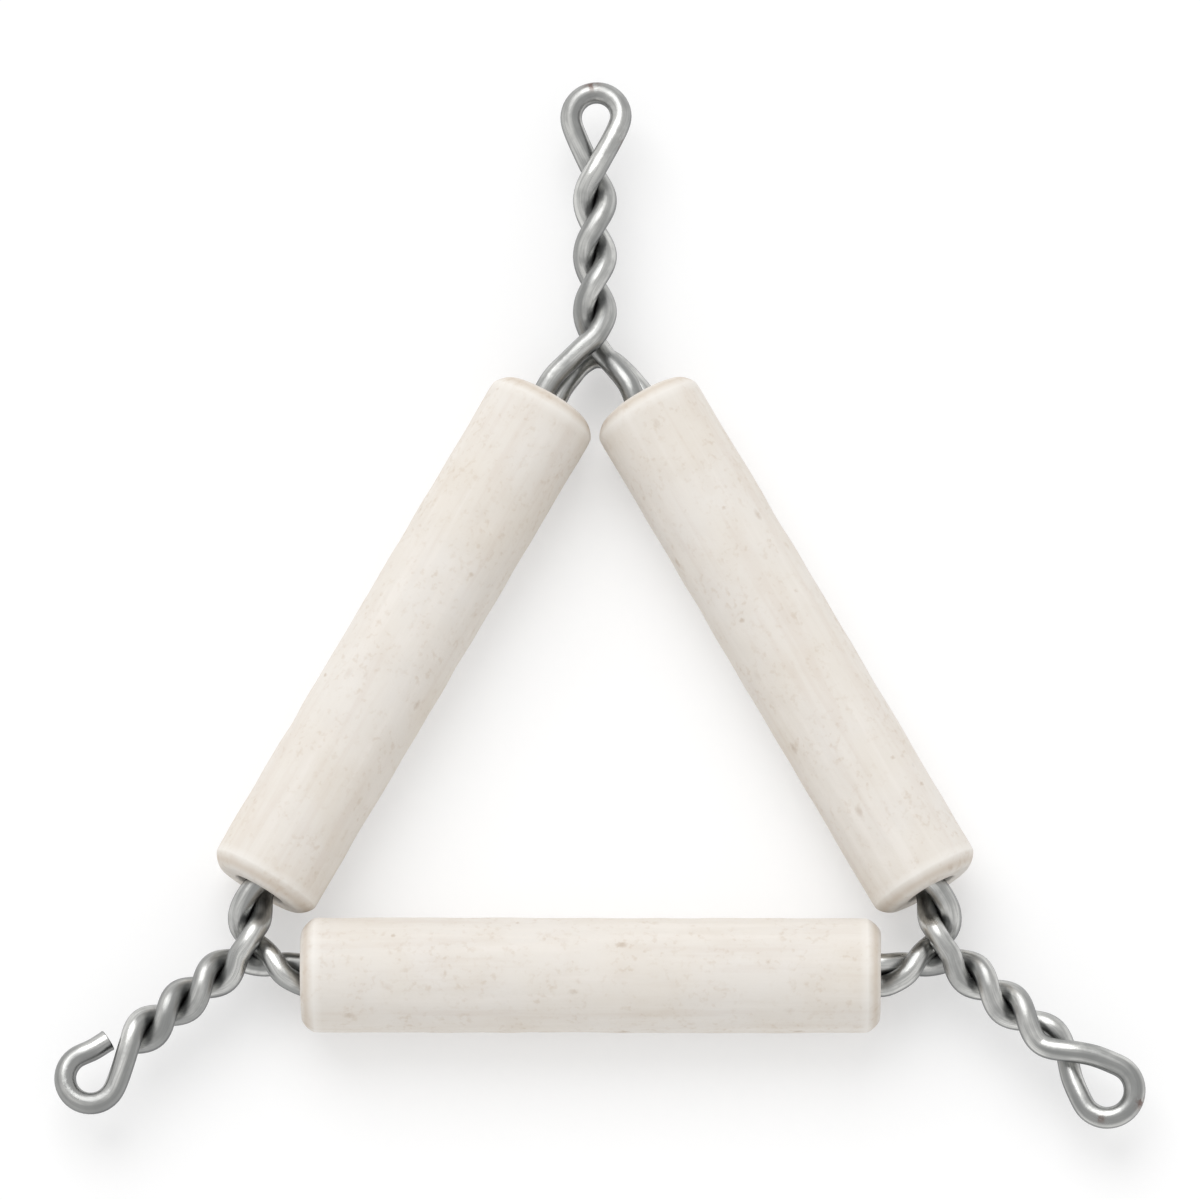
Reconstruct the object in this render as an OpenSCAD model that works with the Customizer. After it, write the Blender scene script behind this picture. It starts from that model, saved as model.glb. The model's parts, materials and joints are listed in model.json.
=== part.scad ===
// Pipe clay triangle: three fired clay tubes strung on one iron wire.
// The wire passes twice through every tube. At each corner it crosses itself, leaves as a
// twisted arm and turns back in an eye. The triangle lies flat on its tubes, with its centre
// at the origin. Corners are listed in the order top, left, right.

/* [Clay tubes] */
// Length of each tube
tube_len = 50; // [32:1:90]
// Outer diameter of each tube
tube_d = 10; // [7:0.5:16]
// Radius of the rounded outer edge at both ends of a tube
end_round = 1.2; // [0.4:0.1:2]
// Gap that the corners leave between neighbouring tubes
tube_gap = 0.55; // [0.4:0.05:2]
// How far both side tubes have slid up the wire towards the top corner
side_slide = 0.25; // [0:0.05:0.35]
// How far the base tube has slid along the wire towards the left corner
base_slide = 0.35; // [0:0.05:0.4]

/* [Wire] */
// Diameter of the wire
wire_d = 1.9; // [1.2:0.1:2.4]
// Gap between two strands that run side by side
strand_gap = 0.08; // [0.06:0.02:0.2]
// Room between the pair of strands and the bore, on every side
bore_clearance = 0.26; // [0.2:0.02:0.6]

/* [Corners] */
// How far inside the corner of the tube axes the strands of each arm cross first
crossing_inset = [1.6, 3, 3]; // [1.4:0.1:3.2]
// Depth inside a bore at which the pair of strands lies flat
settle_len = 13; // [8:1:15]

/* [Arms and eyes] */
// Length of each twisted arm, from its first crossing to the neck of its eye
arm_len = [14.9, 11.7, 12.9]; // [10:0.1:25]
// Lean of each arm away from the line that halves its corner, in degrees
arm_lean = [0, 8.4, 9.6]; // [0:0.1:12]
// Radius of each eye, at the middle of the wire
eye_r = [2.2, 2.25, 2.35]; // [1.9:0.05:3]
// Distance from each neck to the middle of its eye
eye_reach = [5.05, 4.7, 4.75]; // [4.6:0.05:8]
// Lean of each eye away from its arm, in degrees
eye_lean = [1, 5, 4.5]; // [-10:1:12]
// How far the legs of each closed eye bow out
eye_bow = [0, 0, 0.2]; // [0:0.05:0.4]
// How far the hidden wire end runs on past the left eye's neck
tail_len = 0.2; // [0:0.1:0.4]

/* [Hidden] */

TOP = 0;
LEFT = 1;
RIGHT = 2;
corner_angle = [90, 210, 330];
// The left corner is the mirror image of the other two.
corner_hand = [1, -1, 1];
half_turns = 3;
// Share of each arm that its last half turn takes
last_turn = [1 / half_turns, 1 / half_turns, 0.36];
// At the right eye's neck the strands cross the other way over. Between the last two crossings
// each strand there stays above or below the other, by this share of the height at a crossing.
neck_swapped = [false, false, true];
swap_rise = 0.5;

tube_r = tube_d / 2;
wire_r = wire_d / 2;
// Distance of each strand from the middle of a pair
strand_r = (wire_d + strand_gap) / 2;
bore_r = wire_d + strand_gap / 2 + bore_clearance;

// The corner points below were chosen for these distances, and follow them.
route_reach = [5.6, 4.2, 4.2];
route_strand_r = 0.99;
strand_scale = strand_r / route_strand_r;
// Distance from the corner of two tube axes to the line between their mouths: what the tubes
// leave, or more where a thick wire needs more room to cross
tube_room = (tube_gap + end_round + sqrt(3) * (tube_r - end_round)) * cos(30);
corner_depth = max([tube_room, each crossing_inset + route_reach * strand_scale]);
// Distance from the corner of two tube axes to the end faces of the tubes
corner_len = corner_depth / cos(30);
side_len = tube_len + 2 * corner_len;
corner_r = side_len / sqrt(3);
axis_r = corner_r / 2;

// Corner points: [across, outward, height] from an arm's first crossing. The front strand
// leaves the arm for the nearer side, the back strand for the far side, and the ring strand
// only passes the corner, from the near side's tube to the far side's.
top_front = [[-1.05, -0.95, 1.1], [-2.15, -2.05, 1.05], [-3.65, -3.55, 0.9]];
top_back = [[0.8, -1.25, -0.75], [1.85, -2.65, 0.2], [2.95, -4.25, 0.8]];
top_ring = [
    [-2.95, -4.35, -0.95], [-2.15, -3.1, -1.55], [-1.25, -1.85, -2.3], [0, -1, -2.85],
    [1.2, -1.2, -2.75], [2.3, -2.2, -2.1], [3.3, -3.45, -1.25]
];
low_front = [[-0.5, -1.1, 1.25], [-1.15, -2.25, 1.2], [-1.9, -3.3, 0.15]];
low_back = [[0.7, -0.7, -1.55], [1.45, -1.75, -1.9], [2.25, -3.35, -1]];
low_ring = [
    [-3.8, -2.5, 0.5], [-3.05, -1.75, -0.1], [-2.15, -1.45, -0.75], [-1.05, -1.75, -0.9],
    [0.1, -2.2, -0.45], [1.4, -2.45, 0.55], [3.25, -2.55, 0.8]
];
front_points = [top_front, low_front, low_front];
back_points = [top_back, low_back, low_back];
ring_points = [top_ring, low_ring, low_ring];
// Where the left eye's wire end stops short: [outward, across] from the neck
cut_end = [[3, -1.75], [1.35, -1.45]];

// Angle of the ring strand round the pair at the near and far tube mouths, and how far the
// pair turns from there until it lies flat
mouth_phase = [[230, -50], [60, 10], [60, 10]];
mouth_turn = [[-230, 50], [120, -190], [120, -10]];

// Rings per half turn of an arm, per eye, per bore end and per stretch between corner points
arm_rings = 6;
eye_rings = 10;
bore_rings = 8;
link_rings = 2;
wire_sides = 8;

function unit2(angle) = [cos(angle), sin(angle)];
function square_to(v) = [v[1], -v[0]];
function direction(from, to) = (to - from) / norm(to - from);
function reversed(list) = [for (i = [len(list) - 1 : -1 : 0]) list[i]];

// Corner frame to model frame
function placed(corner, p) =
    let (
        out = unit2(corner_angle[corner]),
        start = out * (corner_r - crossing_inset[corner]),
        xy = start + out * p[1] + square_to(out) * corner_hand[corner] * p[0]
    )
    [xy[0], xy[1], tube_r + p[2]];

// Arms: a double helix. The front strand starts at phase 90, the back strand at 270.
function arm_axis(corner) = unit2(90 - arm_lean[corner]);
function arm_turns(corner, along) =
    let (
        early = half_turns - 1,
        split = 1 - last_turn[corner],
        share = along / arm_len[corner]
    )
    share < split ? early * share / split : early + (share - split) / last_turn[corner];
function arm_height(corner, turns, phase) =
    let (
        early = half_turns - 1,
        turn = phase + 180 * turns
    )
    neck_swapped[corner] && turns > early
        ? sin(phase + 180 * early) * norm([sin(turn), swap_rise * cos(turn)])
        : sin(turn);
function arm_point(corner, along, phase) =
    let (
        axis = arm_axis(corner),
        turns = arm_turns(corner, along),
        xy = axis * along - square_to(axis) * strand_r * cos(phase + 180 * turns)
    )
    placed(corner, [xy[0], xy[1], strand_r * arm_height(corner, turns, phase)]);
function arm(corner, phase) =
    let (count = arm_rings * half_turns)
    [for (i = [1 : count]) arm_point(corner, arm_len[corner] * i / count, phase)];

// Eyes: two legs that touch a circle. Heights run evenly from one end of the wire to the other.
function eye_axis(corner) = unit2(90 - arm_lean[corner] - eye_lean[corner]);
function eye_half_angle(corner) = 90 + asin(eye_r[corner] / eye_reach[corner]);
function eye_circle(corner) =
    let (
        axis = eye_axis(corner),
        half = eye_half_angle(corner),
        centre = arm_axis(corner) * arm_len[corner] + axis * eye_reach[corner]
    )
    [
        for (i = [0 : eye_rings])
            let (a = half * (2 * i / eye_rings - 1))
            centre + eye_r[corner] * (axis * cos(a) + square_to(axis) * sin(a))
    ];
function run_lengths(points) = [
    for (i = 0, sum = 0; i < len(points);
        sum = sum + (i + 1 < len(points) ? norm(points[i + 1] - points[i]) : 0), i = i + 1) sum
];
function with_heights(corner, points, low, high) =
    let (runs = run_lengths(points), total = runs[len(runs) - 1])
    [
        for (i = [0 : len(points) - 1])
            placed(corner, [points[i][0], points[i][1], low + (high - low) * runs[i] / total])
    ];
function inner_points(list) = [for (i = [1 : len(list) - 2]) list[i]];
function eye_leg(corner, touch) =
    let (
        neck = arm_axis(corner) * arm_len[corner],
        centre = neck + eye_axis(corner) * eye_reach[corner],
        outward = (touch - centre) / eye_r[corner]
    )
    eye_bow[corner] > 0 ? [(neck + touch) / 2 + eye_bow[corner] * outward] : [];
function closed_eye(corner) =
    let (
        neck = arm_axis(corner) * arm_len[corner],
        circle = eye_circle(corner),
        last_leg = eye_leg(corner, circle[len(circle) - 1]),
        points = concat([neck], eye_leg(corner, circle[0]), circle, last_leg, [neck]),
        end = neck_swapped[corner] ? -strand_r : strand_r
    )
    inner_points(with_heights(corner, points, -end, end));
function open_eye(corner) =
    let (
        axis = eye_axis(corner),
        neck = arm_axis(corner) * arm_len[corner],
        stub = [for (q = cut_end * strand_scale) neck + axis * q[0] + square_to(axis) * q[1]],
        points = with_heights(corner, concat([neck], reversed(eye_circle(corner)), stub), strand_r, 0)
    )
    [for (i = [1 : len(points) - 1]) points[i]];

// Distance from an arm's first crossing to the line between the tube mouths
function mouth_reach(corner) = corner_depth - crossing_inset[corner];
// Tube mouths: side -1 is the near side and 1 the far side, depth runs into the bore.
function mouth_point(corner, side, phase, depth) =
    let (
        into = [side * sin(30), -cos(30)],
        out = [side * cos(30), sin(30)],
        mouth = [side * corner_len * sin(30), -mouth_reach(corner)],
        xy = mouth + into * depth + out * strand_r * cos(phase)
    )
    placed(corner, [xy[0], xy[1], strand_r * sin(phase)]);
// Phase 0 is the ring strand and phase 180 the strand beside it.
function strand_end(corner, side, phase, depth) =
    let (
        k = side < 0 ? 0 : 1,
        rest = 1 - depth / settle_len,
        turned = mouth_phase[corner][k] + mouth_turn[corner][k] * (1 - rest * rest)
    )
    mouth_point(corner, side, phase + turned, depth);
function bore_end(corner, side, phase) = [
    for (i = [1 : bore_rings])
        strand_end(corner, side, phase, settle_len * pow(i / bore_rings, 1.6))
];

// Corner links, with the tube mouths that they reach
function fitted(corner, points) =
    let (k = mouth_reach(corner) / route_reach[corner])
    [for (p = points) placed(corner, [p[0] * k, p[1] * k, p[2] * strand_scale])];
function front_link(corner) = concat(
    [arm_point(corner, 0, 90)],
    fitted(corner, front_points[corner]),
    [strand_end(corner, -1, 180, 0)]
);
function back_link(corner) = concat(
    [arm_point(corner, 0, 270)],
    fitted(corner, back_points[corner]),
    [strand_end(corner, 1, 180, 0)]
);
function ring_link(corner) = concat(
    [strand_end(corner, -1, 0, 0)],
    fitted(corner, ring_points[corner]),
    [strand_end(corner, 1, 0, 0)]
);

// A stretch of the route pairs each point with the number of rings up to the next one.
function plain(points) = [for (p = points) [p, 1]];
function curved(points) = [
    for (i = [0 : len(points) - 1]) [points[i], i + 1 < len(points) ? link_rings : 1]
];
// From the mouth of one corner's bore, down the tube, to the mouth of the next
function through_bore(corner_a, side_a, phase_a, corner_b, side_b, phase_b) = plain(concat(
    bore_end(corner_a, side_a, phase_a), reversed(bore_end(corner_b, side_b, phase_b))
));

// The one wire, from its hidden end behind the left eye's neck to the left eye's cut end
stretches = concat(
    plain(concat([arm_point(LEFT, arm_len[LEFT] + tail_len, 90)], reversed(arm(LEFT, 90)))),
    curved(front_link(LEFT)),
    through_bore(LEFT, -1, 180, TOP, -1, 0),
    curved(ring_link(TOP)),
    through_bore(TOP, 1, 0, RIGHT, -1, 180),
    curved(reversed(front_link(RIGHT))),
    plain(concat(arm(RIGHT, 90), closed_eye(RIGHT), reversed(arm(RIGHT, 270)))),
    curved(back_link(RIGHT)),
    through_bore(RIGHT, 1, 180, LEFT, 1, 0),
    curved(reversed(ring_link(LEFT))),
    through_bore(LEFT, -1, 0, TOP, -1, 180),
    curved(reversed(front_link(TOP))),
    plain(concat(arm(TOP, 90), closed_eye(TOP), reversed(arm(TOP, 270)))),
    curved(back_link(TOP)),
    through_bore(TOP, 1, 180, RIGHT, -1, 0),
    curved(ring_link(RIGHT)),
    through_bore(RIGHT, 1, 0, LEFT, 1, 180),
    curved(reversed(back_link(LEFT))),
    plain(concat(arm(LEFT, 270), open_eye(LEFT)))
);
stops = [for (s = stretches) s[0]];
last = len(stops) - 1;

// Centripetal spline through the stops
function knot(i) = sqrt(norm(stops[i + 1] - stops[i]));
function slope(i) =
    i == 0 ? (stops[1] - stops[0]) / knot(0) :
    i == last ? (stops[last] - stops[last - 1]) / knot(last - 1) :
    let (a = knot(i - 1), b = knot(i))
    ((stops[i] - stops[i - 1]) * b / a + (stops[i + 1] - stops[i]) * a / b) / (a + b);
function between(i, u) =
    (2 * pow(u, 3) - 3 * pow(u, 2) + 1) * stops[i]
    + (pow(u, 3) - 2 * pow(u, 2) + u) * knot(i) * slope(i)
    + (3 * pow(u, 2) - 2 * pow(u, 3)) * stops[i + 1]
    + (pow(u, 3) - pow(u, 2)) * knot(i) * slope(i + 1);
route = concat(
    [for (i = [0 : last - 1]) for (j = [0 : stretches[i][1] - 1]) between(i, j / stretches[i][1])],
    [stops[last]]
);

// A round bar swept along a path, as one closed solid
module swept_wire(path, radius, sides) {
    count = len(path);
    headings = [
        for (i = [0 : count - 1])
            let (
                back = i > 0 ? direction(path[i - 1], path[i]) : direction(path[0], path[1]),
                ahead = i + 1 < count ? direction(path[i], path[i + 1]) : back
            )
            (back + ahead) / norm(back + ahead)
    ];
    // Each ring's first spoke is the one before it, turned as little as the bend asks for.
    spokes = [
        for (i = 0, v = cross(headings[0], [0, 0, 1]); i < count;
            i = i + 1, v = i < count ? v - headings[i] * (v * headings[i]) : v)
            v / norm(v)
    ];
    points = [
        for (i = [0 : count - 1]) for (k = [0 : sides - 1])
            let (a = 360 * k / sides)
            path[i] + radius * (cos(a) * spokes[i] + sin(a) * cross(headings[i], spokes[i]))
    ];
    walls = [
        for (i = [0 : count - 2]) for (k = [0 : sides - 1])
            let (a = i * sides + k, b = i * sides + (k + 1) % sides)
            each [[a, b + sides, b], [a, a + sides, b + sides]]
    ];
    caps = [
        [for (k = [0 : sides - 1]) k],
        [for (k = [sides - 1 : -1 : 0]) (count - 1) * sides + k]
    ];
    polyhedron(points = points, faces = concat(walls, caps), convexity = 10);
}

// A tube along Z with its middle at the origin
module tube_blank() {
    rotate_extrude($fn = 96) {
        translate([0, end_round - tube_len / 2]) square([tube_r, tube_len - 2 * end_round]);
        translate([0, -tube_len / 2]) square([tube_r - end_round, tube_len]);
        for (end = [-1, 1])
            translate([tube_r - end_round, end * (tube_len / 2 - end_round)])
                circle(r = end_round, $fn = 48);
    }
}

module clay_tube() {
    color("#ece7df")
    difference() {
        tube_blank();
        cylinder(h = tube_len + 2, r = bore_r, center = true, $fn = 96);
    }
}

// A tube on the side that faces the given angle, slid along its axis counterclockwise
module placed_tube(angle, slide) {
    rotate([0, 0, angle])
        translate([axis_r, slide, tube_r])
            rotate([90, 0, 0])
                clay_tube();
}

module wire_frame() {
    color("#9b9d9e")
        swept_wire(route, wire_r, wire_sides);
}

module clay_tube_left() {
    placed_tube(150, -side_slide);
}

module clay_tube_right() {
    placed_tube(30, side_slide);
}

module clay_tube_base() {
    placed_tube(270, -base_slide);
}

wire_frame();
clay_tube_left();
clay_tube_right();
clay_tube_base();
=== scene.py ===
"""Pipe clay triangle: three fired clay tubes strung on one galvanised wire.

The wire runs twice through every tube. At each corner it crosses itself, leaves as a twisted
arm and turns back in an eye. The wire is a round bar swept along its own route, and each tube
is a surface of revolution with the flaws of extruded, hand-trimmed clay. Lengths inside the
classes are in millimetres, and turn to metres where a mesh is written.
"""

import json
import logging
import math
from dataclasses import dataclass, field
from enum import Enum
from typing import Any

import bpy
import numpy as np
from numpy.typing import NDArray
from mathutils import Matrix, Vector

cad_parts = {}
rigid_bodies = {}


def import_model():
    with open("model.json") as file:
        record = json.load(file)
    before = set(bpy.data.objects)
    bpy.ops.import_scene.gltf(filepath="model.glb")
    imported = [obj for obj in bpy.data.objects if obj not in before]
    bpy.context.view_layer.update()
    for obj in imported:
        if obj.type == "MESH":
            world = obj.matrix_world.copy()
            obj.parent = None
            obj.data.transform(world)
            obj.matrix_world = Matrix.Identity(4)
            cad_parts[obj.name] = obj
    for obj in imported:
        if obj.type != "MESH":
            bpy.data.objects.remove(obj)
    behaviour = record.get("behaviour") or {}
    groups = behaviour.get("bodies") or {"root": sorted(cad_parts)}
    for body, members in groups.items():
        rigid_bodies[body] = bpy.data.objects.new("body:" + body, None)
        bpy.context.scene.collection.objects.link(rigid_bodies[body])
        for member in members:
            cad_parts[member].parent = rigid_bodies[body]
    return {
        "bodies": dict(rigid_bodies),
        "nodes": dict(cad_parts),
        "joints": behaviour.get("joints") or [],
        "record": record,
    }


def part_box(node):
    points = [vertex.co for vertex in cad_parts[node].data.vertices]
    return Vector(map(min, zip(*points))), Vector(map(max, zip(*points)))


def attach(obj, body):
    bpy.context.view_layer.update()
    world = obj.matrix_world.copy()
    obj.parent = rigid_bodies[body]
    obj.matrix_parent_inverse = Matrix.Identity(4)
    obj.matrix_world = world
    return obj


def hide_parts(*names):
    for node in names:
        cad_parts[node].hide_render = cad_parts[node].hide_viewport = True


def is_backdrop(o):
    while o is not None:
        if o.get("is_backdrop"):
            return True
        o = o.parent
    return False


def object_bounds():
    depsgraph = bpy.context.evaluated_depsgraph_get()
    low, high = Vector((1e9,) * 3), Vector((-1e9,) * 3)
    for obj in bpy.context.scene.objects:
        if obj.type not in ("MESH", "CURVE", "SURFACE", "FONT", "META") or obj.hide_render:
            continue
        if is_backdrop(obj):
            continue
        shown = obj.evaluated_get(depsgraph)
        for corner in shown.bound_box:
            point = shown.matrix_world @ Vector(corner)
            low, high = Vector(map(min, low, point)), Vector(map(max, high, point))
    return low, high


LOG = logging.getLogger("pipe_clay_triangle")

MM = 0.001
UP = (0.0, 0.0, 1.0)
HALF_CORNER = math.radians(30)
Array = NDArray[np.float64]
Span = tuple[float, float]
Stops = tuple[tuple[float, float, float], ...]
Settings = dict[str | int, Any]
Links = dict[str | int, bpy.types.NodeSocket]
Found = dict[str, bpy.types.NodeSocket]


# ---------------------------------------------------------------- colours and nodes


def linear(hex_colour: str) -> tuple[float, float, float, float]:
    """Turns an sRGB hex colour to linear light.

    Args:
        hex_colour: A colour such as "#E8E1D6".

    Returns:
        Linear red, green, blue and an alpha of 1.
    """
    parts = [int(hex_colour[i : i + 2], 16) / 255 for i in (1, 3, 5)]
    red, green, blue = (c / 12.92 if c <= 0.04045 else ((c + 0.055) / 1.055) ** 2.4 for c in parts)
    return red, green, blue, 1.0


def add_node(
    tree: bpy.types.NodeTree,
    kind: str,
    settings: Settings | None = None,
    links: Links | None = None,
) -> bpy.types.Node:
    """Adds a node with its settings and links.

    Args:
        tree: The node tree that gets the node.
        kind: The node's type name, such as "ShaderNodeBump".
        settings: Values by input name, input number or node property, set in this order.
        links: Source sockets by input name or number.

    Returns:
        The new node.
    """
    node = tree.nodes.new(kind)
    for key, value in (settings or {}).items():
        if isinstance(key, int) or key in node.inputs:
            node.inputs[key].default_value = value
        else:
            setattr(node, key, value)
    for key, source in (links or {}).items():
        tree.links.new(source, node.inputs[key])
    return node


# ---------------------------------------------------------------- surfaces


def unit(vectors: Array) -> Array:
    """Vectors along the last axis, each divided by its length."""
    return vectors / np.linalg.norm(vectors, axis=-1, keepdims=True)


def direction(angle: float) -> Array:
    """Unit vector in the plane at an angle in degrees from X."""
    return np.array([math.cos(math.radians(angle)), math.sin(math.radians(angle))])


def square_to(vector: Array) -> Array:
    """Plane vector turned a quarter turn clockwise."""
    return np.array([vector[1], -vector[0]])


def ripple(points: Array, wavelength: float, seed: int, waves: int = 24) -> Array:
    """Smooth noise of about unit size: a sum of plane waves in random directions, with
    wavelengths from 0.7 to 1.4 of the one given, divided by the root of half their number.

    Args:
        points: Coordinates, with the last axis holding X, Y and Z.
        wavelength: Length of the waves, in the points' own unit.
        seed: Picks the waves.
        waves: How many waves are summed.

    Returns:
        One value for each point.
    """
    rng = np.random.default_rng(seed)
    ways = unit(rng.normal(size=(waves, 3))) * rng.uniform(0.7, 1.4, (waves, 1))
    phases = rng.uniform(0, 2 * np.pi, waves)
    total = np.cos(points @ (ways.T * 2 * np.pi / wavelength) + phases).sum(axis=-1)
    return total / math.sqrt(waves / 2)


def run_along(line: Array) -> Array:
    """Distance of each point of a line from its first point, along the line."""
    return np.append(0.0, np.cumsum(np.linalg.norm(np.diff(line, axis=0), axis=1)))


def read_off(places: Array, run: Array, values: Array) -> Array:
    """Rows of values read off in between, each column along straight lines.

    Args:
        places: Where to read.
        run: Where the rows of values stand.
        values: The rows.

    Returns:
        One row for each place.
    """
    return np.column_stack([np.interp(places, run, column) for column in values.T])


def grid_faces(rows: int, columns: int, close_rows: bool) -> NDArray[np.int64]:
    """Quads of a grid whose columns always close on themselves.

    Args:
        rows: Number of rings.
        columns: Points in each ring.
        close_rows: Whether the last ring joins the first.

    Returns:
        Four vertex numbers for each face.
    """
    row = np.arange(rows if close_rows else rows - 1)[:, None]
    column = np.arange(columns)[None, :]
    below, above = row * columns, (row + 1) % rows * columns
    ahead = (column + 1) % columns
    corners = (below + column, below + ahead, above + ahead, above + column)
    return np.stack(corners, axis=-1).reshape(-1, 4)


def new_piece(name: str, vertices: Array, faces: list[list[int]]) -> bpy.types.Object:
    """Makes a smooth-shaded mesh object at the origin.

    Args:
        name: The piece's name.
        vertices: Points in millimetres, in the model's frame.
        faces: Vertex numbers of each face, pointing outwards.

    Returns:
        The new object, linked to the scene.
    """
    mesh = bpy.data.meshes.new(name)
    mesh.from_pydata(vertices * MM, [], faces)
    mesh.polygons.foreach_set("use_smooth", np.ones(len(mesh.polygons), dtype=bool))
    mesh.update()
    piece = bpy.data.objects.new(name, mesh)
    bpy.context.scene.collection.objects.link(piece)
    return piece


def paint(piece: bpy.types.Object, name: str, values: Array) -> None:
    """Stores one number or one vector for each point of a piece.

    Args:
        piece: The object whose mesh gets the attribute.
        name: The attribute's name.
        values: One row for each vertex: a number, or three.
    """
    kind, part = ("FLOAT", "value") if values.ndim == 1 else ("FLOAT_VECTOR", "vector")
    attribute = piece.data.attributes.new(name, kind, "POINT")
    attribute.data.foreach_set(part, values.astype(np.float32).ravel())


# ---------------------------------------------------------------- the wire's route


class Side(Enum):
    """The two tubes that meet at a corner, seen from its arm."""

    NEAR = -1
    FAR = 1


class Strand(Enum):
    """The two strands of an arm, by their angle round it at the first crossing."""

    FRONT = 90.0
    BACK = 270.0


@dataclass(frozen=True)
class Mouth:
    """How the pair of strands enters a tube.

    Attributes:
        phase: Angle of the ring strand round the pair, in degrees.
        turn: How far the pair turns inside, until it lies flat.
    """

    phase: float
    turn: float


TOP_FRONT: Stops = ((-1.05, -0.95, 1.1), (-2.15, -2.05, 1.05), (-3.65, -3.55, 0.9))
TOP_BACK: Stops = ((0.8, -1.25, -0.75), (1.85, -2.65, 0.2), (2.95, -4.25, 0.8))
TOP_RING: Stops = (
    (-2.95, -4.35, -0.95),
    (-2.15, -3.1, -1.55),
    (-1.25, -1.85, -2.3),
    (0, -1, -2.85),
    (1.2, -1.2, -2.75),
    (2.3, -2.2, -2.1),
    (3.3, -3.45, -1.25),
)
LOW_FRONT: Stops = ((-0.5, -1.1, 1.25), (-1.15, -2.25, 1.2), (-1.9, -3.3, 0.15))
LOW_BACK: Stops = ((0.7, -0.7, -1.55), (1.45, -1.75, -1.9), (2.25, -3.35, -1))
LOW_RING: Stops = (
    (-3.8, -2.5, 0.5),
    (-3.05, -1.75, -0.1),
    (-2.15, -1.45, -0.75),
    (-1.05, -1.75, -0.9),
    (0.1, -2.2, -0.45),
    (1.4, -2.45, 0.55),
    (3.25, -2.55, 0.8),
)


@dataclass(frozen=True)
class Corner:
    """One corner of the wire, with its arm and eye. Angles are in degrees.

    The front strand leaves the arm for the near side's tube and the back strand for the far
    side's. The ring strand only passes the corner, from the near tube to the far one. Their
    stops are [across, outward, height] from the arm's first crossing.

    Attributes:
        angle: Direction of the corner from the triangle's middle.
        hand: 1 or -1: which way round near and far lie.
        inset: How far the first crossing lies inside the corner of the tube axes.
        arm_len: Length of the arm.
        arm_lean: How far the arm leans off the corner's direction.
        eye_r: Radius of the eye's middle line.
        eye_reach: Distance from the neck to the eye's middle.
        eye_lean: How far the eye leans off its arm.
        route_reach: Distance to the tube mouths that the stops are written for.
        front: Stops of the front strand.
        back: Stops of the back strand.
        ring: Stops of the ring strand.
        near: How the strands enter the near tube.
        far: How the strands enter the far tube.
        eye_bow: How far the eye's legs bow out.
        last_turn: Share of the arm that its last half turn takes.
        swapped: Whether the strands cross the other way over at the neck.
    """

    angle: float
    hand: int
    inset: float
    arm_len: float
    arm_lean: float
    eye_r: float
    eye_reach: float
    eye_lean: float
    route_reach: float = 4.2
    front: Stops = LOW_FRONT
    back: Stops = LOW_BACK
    ring: Stops = LOW_RING
    near: Mouth = Mouth(60, 120)
    far: Mouth = Mouth(60, 0)
    eye_bow: float = 0.0
    last_turn: float = 1 / 3
    swapped: bool = False

    def arm_axis(self) -> Array:
        """Unit vector along the arm, in the corner's own frame."""
        return direction(90 - self.arm_lean)

    def eye_axis(self) -> Array:
        """Unit vector from the neck to the middle of the eye, in the corner's own frame."""
        return direction(90 - self.arm_lean - self.eye_lean)

    def neck(self) -> Array:
        """Where the arm ends and the eye begins, in the corner's own frame."""
        return self.arm_axis() * self.arm_len

    def eye_middle(self) -> Array:
        """Middle of the eye, in the corner's own frame."""
        return self.neck() + self.eye_axis() * self.eye_reach


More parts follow.
